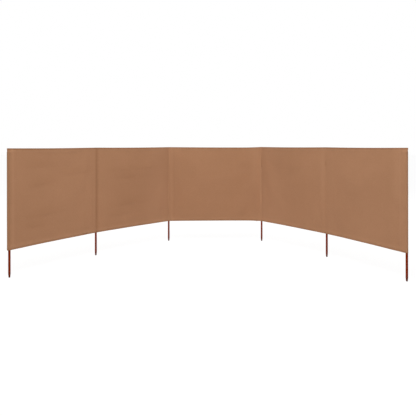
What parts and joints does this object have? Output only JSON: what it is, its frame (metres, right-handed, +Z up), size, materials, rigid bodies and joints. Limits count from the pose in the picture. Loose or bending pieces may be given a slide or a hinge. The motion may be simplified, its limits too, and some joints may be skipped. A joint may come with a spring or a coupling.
{
  "type": "beach windbreak",
  "caption": "Cloth windbreak screen in bays on slim tapered wooden poles, set out as an open U, with hemmed edges and sewn pole pockets; its poles push into the ground.",
  "frame": {"origin": "centre of the flat blunt foot of the third pole from the left, seen from the sheltered side", "axes": "+Z up along the poles; +X along the middle bay towards the fourth pole; the sheltered side of the screen faces -Y"},
  "size_m": [3.6577, 2.1215, 1.2],
  "materials": {
    "cloth": "matte plain-woven brown cloth",
    "pole_wood": "red-brown stained wood, satin"
  },
  "bodies": {
    "root": {"pole_1": "pole_wood", "pole_2": "pole_wood", "pole_3": "pole_wood", "pole_4": "pole_wood", "pole_5": "pole_wood", "pole_6": "pole_wood", "panel_1": "cloth", "panel_2": "cloth", "panel_3": "cloth", "panel_4": "cloth", "panel_5": "cloth", "pocket_1": "cloth", "pocket_2": "cloth", "pocket_3": "cloth", "pocket_4": "cloth", "pocket_5": "cloth", "pocket_6": "cloth", "top_hem_1": "cloth", "top_hem_2": "cloth", "top_hem_3": "cloth", "top_hem_4": "cloth", "top_hem_5": "cloth", "bottom_hem_1": "cloth", "bottom_hem_2": "cloth", "bottom_hem_3": "cloth", "bottom_hem_4": "cloth", "bottom_hem_5": "cloth"}
  },
  "joints": []
}
